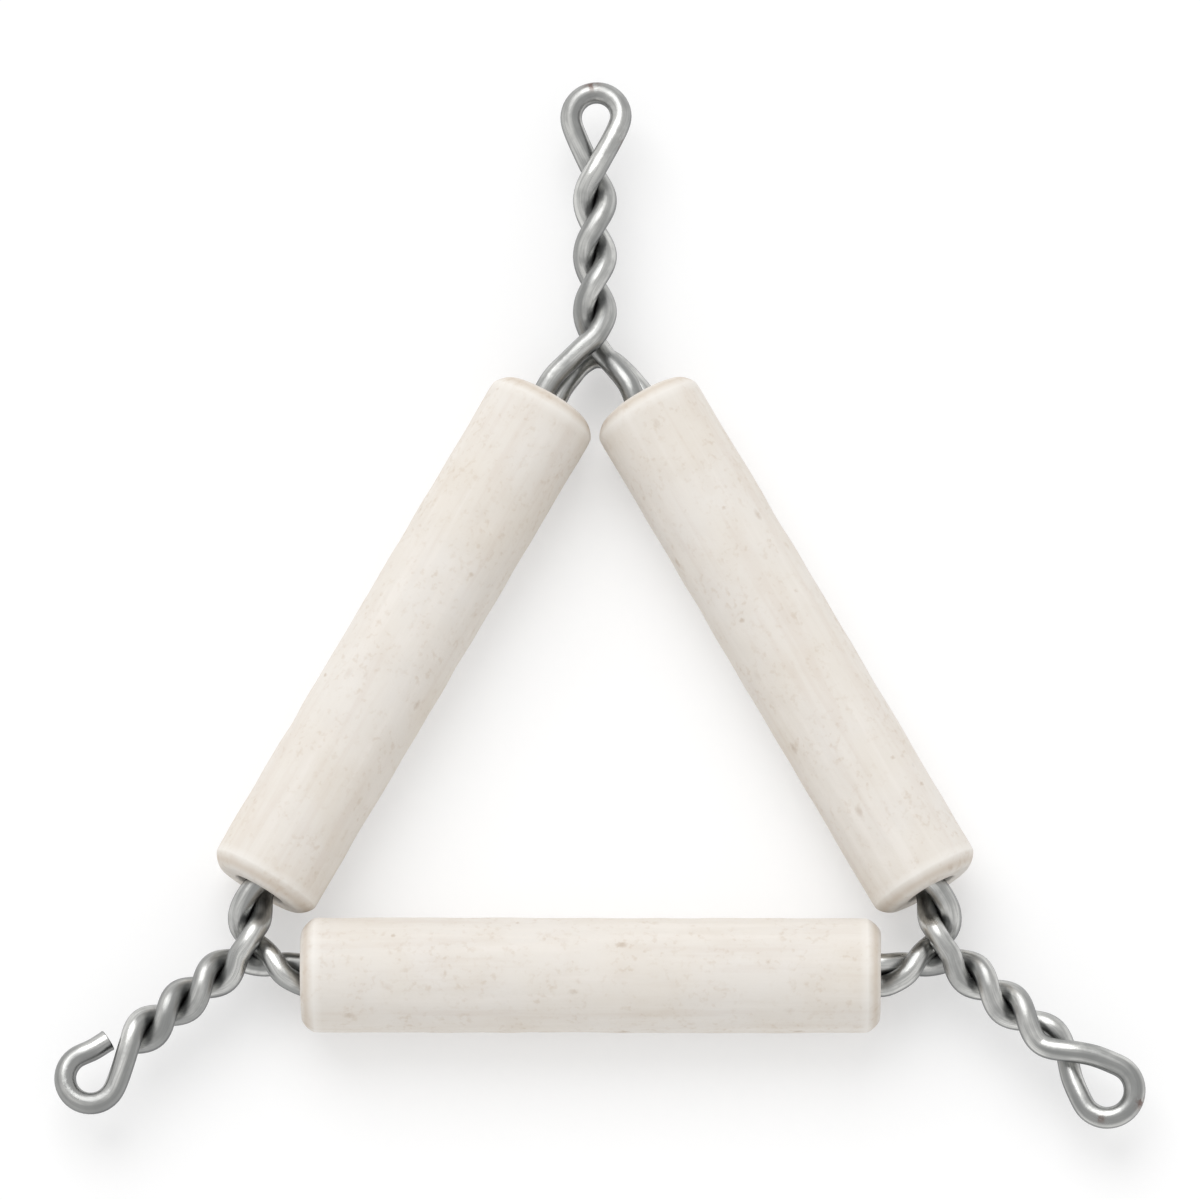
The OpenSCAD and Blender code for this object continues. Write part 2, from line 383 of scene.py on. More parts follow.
@dataclass(frozen=True)
class WireRoute:
    """The middle line of the one wire, from its hidden end to its cut end.

    Attributes:
        tube_len: Length of each tube.
        axis_height: Height of the tubes' axes over the surface they lie on.
        corner_r: Distance from the triangle's middle to the corners of the tube axes.
        wire_d: Diameter of the wire.
        strand_gap: Room between two strands of a pair.
        settle_len: How deep in a bore the pair lies flat.
        settle_rings: Stops of a strand over that depth.
        settle_power: How closely these stops crowd towards the mouth.
        tail_len: How far the hidden end reaches past its neck.
        half_turns: Half turns of an arm.
        cut_end: Stops of the cut end from its neck, as (along the eye's axis, sideways).
        route_strand_r: Distance of a strand from its pair's middle that stops are written for.
        swap_rise: How high the strands stand where they cross the other way over.
        top: The upper corner.
        left: The lower left corner.
        right: The lower right corner.
    """

    tube_len: float
    axis_height: float
    corner_r: float
    wire_d: float = 1.9
    strand_gap: float = 0.08
    settle_len: float = 13.0
    settle_rings: int = 8
    settle_power: float = 1.6
    tail_len: float = 0.2
    half_turns: int = 3
    cut_end: tuple[tuple[float, float], ...] = ((3, -1.75), (1.35, -1.45))
    route_strand_r: float = 0.99
    swap_rise: float = 0.5
    top: Corner = Corner(
        angle=90,
        hand=1,
        inset=1.6,
        arm_len=14.9,
        arm_lean=0,
        eye_r=2.2,
        eye_reach=5.05,
        eye_lean=1,
        route_reach=5.6,
        front=TOP_FRONT,
        back=TOP_BACK,
        ring=TOP_RING,
        near=Mouth(230, -230),
        far=Mouth(-50, 50),
    )
    left: Corner = Corner(
        angle=210,
        hand=-1,
        inset=3,
        arm_len=11.7,
        arm_lean=8.4,
        eye_r=2.25,
        eye_reach=4.7,
        eye_lean=5,
        far=Mouth(10, -190),
    )
    right: Corner = Corner(
        angle=330,
        hand=1,
        inset=3,
        arm_len=12.9,
        arm_lean=9.6,
        eye_r=2.35,
        eye_reach=4.75,
        eye_lean=4.5,
        far=Mouth(10, -10),
        eye_bow=0.2,
        last_turn=0.36,
        swapped=True,
    )

    @property
    def strand_r(self) -> float:
        """Distance of each strand from the middle of a pair."""
        return (self.wire_d + self.strand_gap) / 2

    @property
    def corner_len(self) -> float:
        """Distance from a corner of the tube axes to the tubes' end faces."""
        return (self.corner_r * math.sqrt(3) - self.tube_len) / 2

    def mouth_reach(self, corner: Corner) -> float:
        """Distance from an arm's first crossing to the line between the tube mouths."""
        return self.corner_len * math.cos(HALF_CORNER) - corner.inset

    def placed(self, corner: Corner, local: Array) -> Array:
        """Turns a corner's own coordinates to the model's.

        Args:
            corner: The corner that the coordinates belong to.
            local: Points as [across, outward, height from the tube axes].

        Returns:
            Points in the model's frame.
        """
        out = direction(corner.angle)
        across = square_to(out) * corner.hand
        start = out * (self.corner_r - corner.inset)
        plane = start + local[:, :1] * across + local[:, 1:2] * out
        return np.column_stack([plane, local[:, 2] + self.axis_height])

    def arm_points(self, corner: Corner, strand: Strand, along: Array) -> Array:
        """Points of one strand of an arm: a double helix, half a turn for each crossing. At a
        swapped neck the last half turn's height keeps its sign, so that the strand that
        comes in on top stays there.

        Args:
            corner: The corner that the arm belongs to.
            strand: Which of the two strands.
            along: Distances from the first crossing.

        Returns:
            Points in the model's frame.
        """
        axis = corner.arm_axis()
        early = self.half_turns - 1
        split = 1 - corner.last_turn
        share = along / corner.arm_len
        late = early + (share - split) / corner.last_turn
        turns = np.where(share < split, early * share / split, late)
        turn = np.radians(strand.value + 180 * turns)
        plane = along[:, None] * axis - np.cos(turn)[:, None] * square_to(axis) * self.strand_r
        height = np.sin(turn)
        if corner.swapped:
            stays = math.sin(math.radians(strand.value + 180 * early))
            flat = stays * np.hypot(height, self.swap_rise * np.cos(turn))
            height = np.where(turns > early, flat, height)
        return self.placed(corner, np.column_stack([plane, self.strand_r * height]))

    def arm(self, corner: Corner, strand: Strand, rings: int = 6) -> Array:
        """One strand of an arm, from just past its first crossing to the neck."""
        count = rings * self.half_turns
        return self.arm_points(corner, strand, corner.arm_len * np.arange(1, count + 1) / count)

    def eye_circle(self, corner: Corner, rings: int = 10) -> Array:
        """Plane points of an eye's round part, between the two legs that touch it.

        Args:
            corner: The corner that the eye belongs to.
            rings: Number of steps round the eye.

        Returns:
            Points as [across, outward].
        """
        axis = corner.eye_axis()
        half = 90 + math.degrees(math.asin(corner.eye_r / corner.eye_reach))
        turn = np.radians(np.linspace(-half, half, rings + 1))[:, None]
        rim = np.cos(turn) * axis + np.sin(turn) * square_to(axis)
        return corner.eye_middle() + corner.eye_r * rim

    def with_heights(self, corner: Corner, plane: Array, low: float, high: float) -> Array:
        """Lifts plane points evenly along their run, from one height to another.

        Args:
            corner: The corner that the points belong to.
            plane: Points as [across, outward].
            low: Height of the first point from the tube axes.
            high: Height of the last point.

        Returns:
            Points in the model's frame.
        """
        run = run_along(plane)
        return self.placed(corner, np.column_stack([plane, low + (high - low) * run / run[-1]]))

    def leg(self, corner: Corner, touch: Array) -> Array:
        """Middle of an eye's leg, bowed out, or no point where the leg is straight.

        Args:
            corner: The corner that the eye belongs to.
            touch: Plane point where the leg touches the eye's round part.

        Returns:
            One plane point, or none.
        """
        outward = (touch - corner.eye_middle()) / corner.eye_r
        middle = (corner.neck() + touch) / 2 + corner.eye_bow * outward
        return middle[None] if corner.eye_bow > 0 else np.empty((0, 2))

    def closed_eye(self, corner: Corner) -> Array:
        """An eye that starts and ends at its neck, without the neck's own two points.

        Args:
            corner: The corner that the eye belongs to.

        Returns:
            Points in the model's frame.
        """
        neck, circle = corner.neck(), self.eye_circle(corner)
        legs = (self.leg(corner, circle[0]), self.leg(corner, circle[-1]))
        plane = np.vstack([neck, legs[0], circle, legs[1], neck])
        end = -self.strand_r if corner.swapped else self.strand_r
        return self.with_heights(corner, plane, -end, end)[1:-1]

    def open_eye(self, corner: Corner) -> Array:
        """An eye that leaves its neck on the other side and stops short in a cut end.

        Args:
            corner: The corner that the eye belongs to.

        Returns:
            Points in the model's frame.
        """
        axis = corner.eye_axis()
        ends = np.array(self.cut_end) * self.strand_r / self.route_strand_r
        stub = corner.neck() + ends[:, :1] * axis + ends[:, 1:] * square_to(axis)
        plane = np.vstack([corner.neck(), self.eye_circle(corner)[::-1], stub])
        return self.with_heights(corner, plane, self.strand_r, 0)[1:]

    def bore_points(self, corner: Corner, side: Side, ring: bool, depth: Array) -> Array:
        """Points of one strand in the end of a bore, where the pair turns until it lies flat.

        Args:
            corner: The corner that the tube's mouth belongs to.
            side: Which of the corner's two tubes.
            ring: Whether it is the ring strand, or the one beside it.
            depth: Distances from the mouth into the bore.

        Returns:
            Points in the model's frame.
        """
        mouth = corner.near if side is Side.NEAR else corner.far
        rest = 1 - depth / self.settle_len
        turn = np.radians(mouth.phase + mouth.turn * (1 - rest**2) + (0 if ring else 180))
        slope = math.degrees(HALF_CORNER)
        into = direction(side.value * slope - 90)
        out = np.array([side.value * math.cos(HALF_CORNER), math.sin(HALF_CORNER)])
        start = np.array([side.value * self.corner_len / 2, -self.mouth_reach(corner)])
        plane = start + depth[:, None] * into + self.strand_r * np.cos(turn)[:, None] * out
        return self.placed(corner, np.column_stack([plane, self.strand_r * np.sin(turn)]))

    def bore(self, start: tuple[Corner, Side, bool], end: tuple[Corner, Side, bool]) -> Array:
        """A strand inside a tube, from one corner's mouth to the next corner's.

        Args:
            start: The first corner, which of its tubes it is and whether it's the ring strand.
            end: The same for the next corner.

        Returns:
            Points in the model's frame.
        """
        steps = np.arange(1, self.settle_rings + 1) / self.settle_rings
        depth = self.settle_len * steps**self.settle_power
        return np.vstack([self.bore_points(*start, depth), self.bore_points(*end, depth)[::-1]])

    def fitted(self, corner: Corner, stops: Stops) -> Array:
        """A corner's stops, scaled to the room at its mouths and to the strands' spacing.

        Args:
            corner: The corner that the stops belong to.
            stops: The stops as they are written.

        Returns:
            Points in the model's frame.
        """
        reach = self.mouth_reach(corner) / corner.route_reach
        lift = self.strand_r / self.route_strand_r
        return self.placed(corner, np.array(stops) * [reach, reach, lift])

    def link(self, corner: Corner, strand: Strand) -> Array:
        """A strand from the arm's first crossing to the mouth of its tube.

        Args:
            corner: The corner that the arm belongs to.
            strand: The front strand, to the near tube, or the back one, to the far tube.

        Returns:
            Points in the model's frame.
        """
        front = strand is Strand.FRONT
        side, stops = (Side.NEAR, corner.front) if front else (Side.FAR, corner.back)
        start = self.arm_points(corner, strand, np.zeros(1))
        end = self.bore_points(corner, side, False, np.zeros(1))
        return np.vstack([start, self.fitted(corner, stops), end])

    def ring_link(self, corner: Corner) -> Array:
        """The ring strand, from the near tube's mouth past the arm to the far tube's.

        Args:
            corner: The corner that it passes.

        Returns:
            Points in the model's frame.
        """
        start = self.bore_points(corner, Side.NEAR, True, np.zeros(1))
        end = self.bore_points(corner, Side.FAR, True, np.zeros(1))
        return np.vstack([start, self.fitted(corner, corner.ring), end])

    def loop(self, corner: Corner) -> Array:
        """Out along an arm's front strand, round its eye and back along the back strand."""
        out, back = self.arm(corner, Strand.FRONT), self.arm(corner, Strand.BACK)
        return np.vstack([out, self.closed_eye(corner), back[::-1]])

    def stops(self) -> Array:
        """Every stop of the wire, in order, from the hidden end to the cut end.

        Returns:
            Points in the model's frame.
        """
        top, left, right = self.top, self.left, self.right
        near, far = Side.NEAR, Side.FAR
        tail = self.arm_points(left, Strand.FRONT, np.array([left.arm_len + self.tail_len]))
        return np.vstack(
            [
                tail,
                self.arm(left, Strand.FRONT)[::-1],
                self.link(left, Strand.FRONT),
                self.bore((left, near, False), (top, near, True)),
                self.ring_link(top),
                self.bore((top, far, True), (right, near, False)),
                self.link(right, Strand.FRONT)[::-1],
                self.loop(right),
                self.link(right, Strand.BACK),
                self.bore((right, far, False), (left, far, True)),
                self.ring_link(left)[::-1],
                self.bore((left, near, True), (top, near, False)),
                self.link(top, Strand.FRONT)[::-1],
                self.loop(top),
                self.link(top, Strand.BACK),
                self.bore((top, far, False), (right, near, True)),
                self.ring_link(right),
                self.bore((right, far, True), (left, far, False)),
                self.link(left, Strand.BACK)[::-1],
                self.arm(left, Strand.BACK),
                self.open_eye(left),
            ]
        )


def spline(stops: Array, sample: float) -> Array:
    """Centripetal Catmull-Rom curve through stops: cubics whose slope at a stop weighs the
    spans on both sides by the square root of their lengths.

    Args:
        stops: Points to pass through.
        sample: Longest distance between the samples.

    Returns:
        Points along the curve, about a sample apart.
    """
    span = np.diff(stops, axis=0)
    chord = np.linalg.norm(span, axis=1)
    knot = np.sqrt(chord)[:, None]
    rate = span / knot
    inner = (rate[:-1] * knot[1:] + rate[1:] * knot[:-1]) / (knot[:-1] + knot[1:])
    slope = np.vstack([rate[:1], inner, rate[-1:]])
    counts = np.ceil(chord / sample).astype(int)
    index = np.repeat(np.arange(len(chord)), counts)
    first = np.repeat(np.cumsum(counts) - counts, counts)
    u = ((np.arange(len(index)) - first) / counts[index])[:, None]
    curve = (
        (2 * u**3 - 3 * u**2 + 1) * stops[index]
        + (u**3 - 2 * u**2 + u) * knot[index] * slope[index]
        + (3 * u**2 - 2 * u**3) * stops[index + 1]
        + (u**3 - u**2) * knot[index] * slope[index + 1]
    )
    return np.vstack([curve, stops[-1:]])


def evenly_spaced(curve: Array, spacing: float) -> Array:
    """Points at even distances along a curve.

    Args:
        curve: Points close together along the curve.
        spacing: Distance wanted between the new points.

    Returns:
        The new points, with both ends kept.
    """
    run = run_along(curve)
    return read_off(np.linspace(0, run[-1], round(run[-1] / spacing) + 1), run, curve)


def eased(curve: Array, spacing: float, reach: float, widths: float = 3.0) -> Array:
    """Rounds off the small kinks of a curve with a Gaussian average along it.

    Args:
        curve: Points at even distances.
        spacing: Distance between the points.
        reach: Standard deviation of the average.
        widths: How many standard deviations the average takes in on each side.

    Returns:
        The eased curve, with both ends kept.
    """
    half = math.ceil(widths * reach / spacing)
    weights = np.exp(-0.5 * (np.arange(-half, half + 1) * spacing / reach) ** 2)
    weights /= weights.sum()
    padded = np.pad(curve, ((half, half), (0, 0)), mode="reflect", reflect_type="odd")
    return np.column_stack([np.convolve(axis, weights, mode="valid") for axis in padded.T])


# ---------------------------------------------------------------- finishes


class Blend(Enum):
    """Socket numbers of a Mix node that is set to colours."""

    FACTOR = 0
    UNDER = 6
    OVER = 7
    RESULT = 2


@dataclass(frozen=True)
class Pattern:
    """A cloudy pattern on a piece's own coordinates.

    Attributes:
        name: What fades and reliefs call it.
        size: Size of its features, in millimetres.
        detail: How many finer patterns it holds.
        along: Scale along the piece, far below 1 where the die drew the pattern out.
    """

    name: str
    size: float
    detail: float
    along: float = 1.0


@dataclass(frozen=True)
class Fade:
    """Turns a pattern or a mark into a share: a straight line between two values, held at its
    ends beyond them.

    Attributes:
        name: The pattern, mark or coat that it reads.
        span: The two values.
        share: The shares at these values.
    """

    name: str
    span: Span = (0.0, 1.0)
    share: Span = (0.0, 1.0)


@dataclass(frozen=True)
class Coat:
    """A colour over the colours below it.

    Attributes:
        name: What it is. Fades and reliefs that come later can read its cover by this name.
        colour: Its sRGB hex colour.
        fades: The shares whose product is its cover.
    """

    name: str
    colour: str
    fades: tuple[Fade, ...]


@dataclass(frozen=True)
class Relief:
    """Bumps that follow a pattern.

    Attributes:
        name: The pattern or coat that it reads.
        strength: How much of the bumps' slope counts, from 0 to 1.
        depth: Height of the bumps, in millimetres.
        sunk: Whether high values lie deep.
    """

    name: str
    strength: float
    depth: float
    sunk: bool = False


def cover(tree: bpy.types.NodeTree, found: Found, *fades: Fade) -> bpy.types.NodeSocket:
    """Works out the product of some fades.

    Args:
        tree: The node tree to add to.
        found: Sockets of the patterns, marks and coats, by name.
        *fades: The fades.

    Returns:
        The product's socket.
    """
    product = None
    for fade in fades:
        ends = dict(zip(("From Min", "From Max", "To Min", "To Max"), fade.span + fade.share))
        ranged = add_node(tree, "ShaderNodeMapRange", ends, {"Value": found[fade.name]})
        share = ranged.outputs["Result"]
        if product is not None:
            both = {0: product, 1: share}
            times = add_node(tree, "ShaderNodeMath", {"operation": "MULTIPLY"}, both)
            share = times.outputs["Value"]
        product = share
    return product


@dataclass(frozen=True)
class Finish:
    """What a finish is made of. A coat of colour c and cover f turns the colour below it, b,
    to b (1 - f) + c f, and each relief stands on the one before.

    Attributes:
        title: The material's name.
        place: Attribute that holds the piece's own coordinates, in millimetres.
        marks: Attributes that say where the piece is marked.
        ground: sRGB hex colour under all the coats.
        patterns: The patterns.
        coats: The coats, from the lowest up.
        reliefs: The reliefs, from the lowest up.
    """

    title: str
    place: str
    marks: tuple[str, ...]
    ground: str
    patterns: tuple[Pattern, ...]
    coats: tuple[Coat, ...]
    reliefs: tuple[Relief, ...]

    def sources(self, tree: bpy.types.NodeTree) -> Found:
        """Reads the piece's coordinates and marks, and lays out the patterns.

        Args:
            tree: The node tree to add to.

        Returns:
            Their sockets, by name.
        """
        place = add_node(tree, "ShaderNodeAttribute", {"attribute_name": self.place})
        found = {"place": place.outputs["Vector"]}
        for name in self.marks:
            mark = add_node(tree, "ShaderNodeAttribute", {"attribute_name": name})
            found[name] = mark.outputs["Fac"]
        for pattern in self.patterns:
            stretch = {"Scale": (pattern.along, 1.0, 1.0)}
            drawn = add_node(tree, "ShaderNodeMapping", stretch, {"Vector": found["place"]})
            sizes = {"Scale": 1 / pattern.size, "Detail": pattern.detail}
            where = {"Vector": drawn.outputs["Vector"]}
            found[pattern.name] = add_node(tree, "ShaderNodeTexNoise", sizes, where).outputs["Fac"]
        return found

    def gloss(self, tree: bpy.types.NodeTree, found: Found) -> tuple[Settings, Links]:
        """Settings and links of the shader, besides its colour and bumps."""
        raise NotImplementedError

    def material(self) -> bpy.types.Material:
        """Builds the node material.

        Returns:
            The material.
        """
        material = bpy.data.materials.new(self.title)
        material.use_nodes = True
        tree = material.node_tree
        tree.nodes.clear()
        found = self.sources(tree)
        links: Links = {}
        for coat in self.coats:
            found[coat.name] = cover(tree, found, *coat.fades)
            links[Blend.FACTOR.value] = found[coat.name]
            colours: Settings = {
                "data_type": "RGBA",
                Blend.UNDER.value: linear(self.ground),
                Blend.OVER.value: linear(coat.colour),
            }
            mix = add_node(tree, "ShaderNodeMix", colours, links)
            links = {Blend.UNDER.value: mix.outputs[Blend.RESULT.value]}
        surface: Links = {"Base Color": mix.outputs[Blend.RESULT.value]}
        links = {}
        for relief in self.reliefs:
            bumps = {"Strength": relief.strength, "Distance": relief.depth * MM}
            links["Height"] = found[relief.name]
            bump = add_node(tree, "ShaderNodeBump", bumps | {"invert": relief.sunk}, links)
            links = {"Normal": bump.outputs["Normal"]}
        settings, more = self.gloss(tree, found)
        shader = add_node(tree, "ShaderNodeBsdfPrincipled", settings, surface | links | more)
        add_node(tree, "ShaderNodeOutputMaterial", links={"Surface": shader.outputs["BSDF"]})
        return material


@dataclass(frozen=True)
class GalvanisedWire(Finish):
    """Soft iron wire, drawn through a die and dipped in zinc: a grey metal with satin
    highlights and lines along it from the die. Its pale colour shows on the two broad faces
    of the triangle, painted shade darkens the strands' sides, and darker painted shade, almost
    black, fills the grooves between strands and the cut ends.

    Attributes:
        roughness: Roughness of the zinc.
        grime: Least roughness that the grooves give.
        metal: How metallic the surface is where it rusts.
    """

    title: str = "galvanised_wire"
    place: str = "wire_place"
    marks: tuple[str, ...] = ("groove", "rubbed", "worn")
    ground: str = "#DADAD7"
    patterns: tuple[Pattern, ...] = (
        Pattern("patches", 2.2, 4.0),
        Pattern("bands", 1.0, 1.0, 0.07),
        # The die's real lines are finer still, and are drawn this coarse to show at all.
        Pattern("lines", 0.14, 2.0, 0.07),
        Pattern("pits", 0.4, 3.0),
    )
    coats: tuple[Coat, ...] = (
        # The zinc weathers dull in patches, and along the die's bands and lines.
        Coat("weathered", "#8F908F", (Fade("patches", (0.42, 0.62), (0.0, 0.55)),)),
        Coat("banded", "#8F908F", (Fade("bands", (0.45, 0.6), (0.0, 0.8)),)),
        Coat("lined", "#8F908F", (Fade("lines", (0.45, 0.65), (0.0, 0.4)),)),
        # Painted shade along the strands' sides; the broad faces keep the pale ground.
        Coat("painted_side_shade", "#585A5B", (Fade("rubbed", share=(1.0, 0.0)),)),
        # Painted shade, almost black, in the grooves between strands and at the cut ends.
        Coat("groove_and_cut_shade", "#1B1C1D", (Fade("groove"),)),
        # Rust shows in the few spots where the zinc is worn through.
        Coat("rusty", "#5F4034", (Fade("worn"), Fade("pits", (0.42, 0.55)))),
    )
    reliefs: tuple[Relief, ...] = (Relief("lines", 0.3, 0.012), Relief("pits", 0.5, 0.035))
    roughness: Fade = Fade("patches", (0.3, 0.7), (0.25, 0.4))
    grime: Fade = Fade("groove", share=(0.0, 0.75))
    metal: Fade = Fade("rusty", share=(1.0, 0.2))

    def gloss(self, tree: bpy.types.NodeTree, found: Found) -> tuple[Settings, Links]:
        """Makes the zinc satin, the grooves matt and the rust no metal.

        Args:
            tree: The node tree to add to.
            found: Sockets of the patterns, marks and coats, by name.

        Returns:
            The shader's settings and links.
        """
        least = {0: cover(tree, found, self.roughness), 1: cover(tree, found, self.grime)}
        rough = add_node(tree, "ShaderNodeMath", {"operation": "MAXIMUM"}, least).outputs["Value"]
        return {}, {"Metallic": cover(tree, found, self.metal), "Roughness": rough}


@dataclass(frozen=True)
class SpeckLayer:
    """One layer of specks in the clay, each a small blob in a cell of its own.

    Attributes:
        name: What the specks are.
        colour: Colour of the specks.
        spacing: Size of the cells, in millimetres.
        radius: Radius of the blobs.
        along: Scale of the pattern along the tube, below 1 for dashes along it.
        share: Share of the cells that hold a speck.
        strength: How much the darkest specks cover.
        core: Share of a blob's radius within which it covers fully.
    """

    name: str
    colour: str
    spacing: float
    radius: float
    along: float
    share: float
    strength: float
    core: float = 0.3

    def coat(self) -> Coat:
        """The specks as a coat: blobs round the cells' points, in the cells that are chosen.

        Returns:
            The coat.
        """
        reach = self.radius / self.spacing
        blob = Fade(f"{self.name}_far", (self.core * reach, reach), (1.0, 0.0))
        chosen = Fade(f"{self.name}_lot", (1 - self.share, 1.0), (0.0, self.strength))
        return Coat(self.name, self.colour, (blob, chosen))


SPECKS = (
    SpeckLayer("brown_dashes", "#A88F75", 2.3, 0.4, 0.6, 0.4, 0.5),
    SpeckLayer("tan_dots", "#B0977C", 2.0, 0.32, 1.3, 0.3, 0.45),
    SpeckLayer("grey_dots", "#8F857A", 4.5, 0.36, 0.8, 0.35, 0.42),
)


@dataclass(frozen=True)
class FiredClay(Finish):
    """Unglazed pipe clay, extruded, cut to length and fired: a chalky warm white, clouded and
    full of fine tan specks, with faint drag lines from the die and browner rims.

    Attributes:
        specks: Layers of specks.
        smear: How far the specks' outlines are pulled about.
        roughness: Roughness of the clay.
        ior: Index of refraction of the fired clay.
        shine: Share of the mirror light that its chalky face keeps.
    """

    title: str = "fired_pipe_clay"
    place: str = "tube_place"
    marks: tuple[str, ...] = ("rim", "shoulder")
    ground: str = "#E2DBD1"
    patterns: tuple[Pattern, ...] = (
        Pattern("clouds", 8.0, 5.0),
        Pattern("drags", 1.1, 3.0, 0.06),
        Pattern("grain", 0.25, 3.0),
        Pattern("mottle", 2.6, 4.0),
        Pattern("flecks", 0.55, 2.0),
    )
    coats: tuple[Coat, ...] = (
        # Paler clouds on the warm ground, and the body drawn along the tube over both.
        Coat("pale", "#E6E2DD", (Fade("clouds", (0.35, 0.65)),)),
        Coat("body", "#E3DDD5", (Fade("drags", (0.3, 0.7), (0.15, 0.7)),)),
        Coat("drawn_pale", "#EDE8E2", (Fade("drags", (0.52, 0.68), (0.0, 0.42)),)),
        Coat("drawn_dark", "#D6CABF", (Fade("drags", (0.34, 0.46), (0.26, 0.0)),)),
        # Faint mottling, and small flecks that gather where it is strong.
        Coat("mottled", "#C3B09A", (Fade("mottle", (0.45, 0.7), (0.0, 0.09)),)),
        Coat(
            "flecked",
            "#C3B09A",
            (Fade("flecks", (0.54, 0.72), (0.0, 0.3)), Fade("mottle", (0.36, 0.58))),
        ),
        # Rims toasted by the fire, and a painted highlight on the shoulders where the rounded ends
        # meet the outside.
        Coat("toasted", "#C3B09A", (Fade("rim", share=(0.0, 0.6)),)),
        Coat("painted_shoulder_highlight", "#F2EFEA", (Fade("shoulder", share=(0.0, 0.6)),)),
        *(layer.coat() for layer in SPECKS),
    )
    reliefs: tuple[Relief, ...] = (
        Relief("drags", 0.3, 0.03),
        Relief("grain", 0.5, 0.03),
        Relief("brown_dashes", 0.6, 0.05, sunk=True),
    )
    specks: tuple[SpeckLayer, ...] = SPECKS
    smear: float = 0.35
    roughness: float = 0.88
    ior: float = 1.5
    shine: float = 0.3

    def sources(self, tree: bpy.types.NodeTree) -> Found:
        """Adds the specks' cells to the sources, on coordinates that the grain pulls about:
        place + smear (grain colour - 1/2).

        Args:
            tree: The node tree to add to.

        Returns:
            The sockets, by name.
        """
        found = super().sources(tree)
        scatter = {0: found["grain"].node.outputs["Color"]}
        middle = {"operation": "SUBTRACT", 1: (0.5, 0.5, 0.5)}
        centred = add_node(tree, "ShaderNodeVectorMath", middle, scatter).outputs["Vector"]
        pull = {"operation": "MULTIPLY_ADD", 1: (self.smear,) * 3}
        pulled = add_node(tree, "ShaderNodeVectorMath", pull, {0: centred, 2: found["place"]})
        for layer in self.specks:
            stretch = {"Scale": (layer.along, 1.0, 1.0)}
            drawn = add_node(
                tree, "ShaderNodeMapping", stretch, {"Vector": pulled.outputs["Vector"]}
            )
            where = {"Vector": drawn.outputs["Vector"]}
            cells = add_node(tree, "ShaderNodeTexVoronoi", {"Scale": 1 / layer.spacing}, where)
            lot = {"Color": cells.outputs["Color"]}
            picked = add_node(tree, "ShaderNodeSeparateColor", links=lot)
            found[f"{layer.name}_far"] = cells.outputs["Distance"]
            found[f"{layer.name}_lot"] = picked.outputs["Red"]
        return found

    def gloss(self, tree: bpy.types.NodeTree, found: Found) -> tuple[Settings, Links]:
        """Makes the clay chalky, the same all over."""
        plain = {"Roughness": self.roughness, "IOR": self.ior, "Specular IOR Level": self.shine}
        return plain, {}


# ---------------------------------------------------------------- the wire


@dataclass(frozen=True)
class WornSpot:
    """A spot where an eye's zinc is worn through.

    Attributes:
        corner: The corner whose eye it is on.
        bearing: Where it is round the eye, in degrees from the eye's far point.
        offset: Distance of the spot from the wire's middle line, away from the eye's middle.
        radius: Size of the spot.
    """

    corner: str
    bearing: float
    offset: float
    radius: float


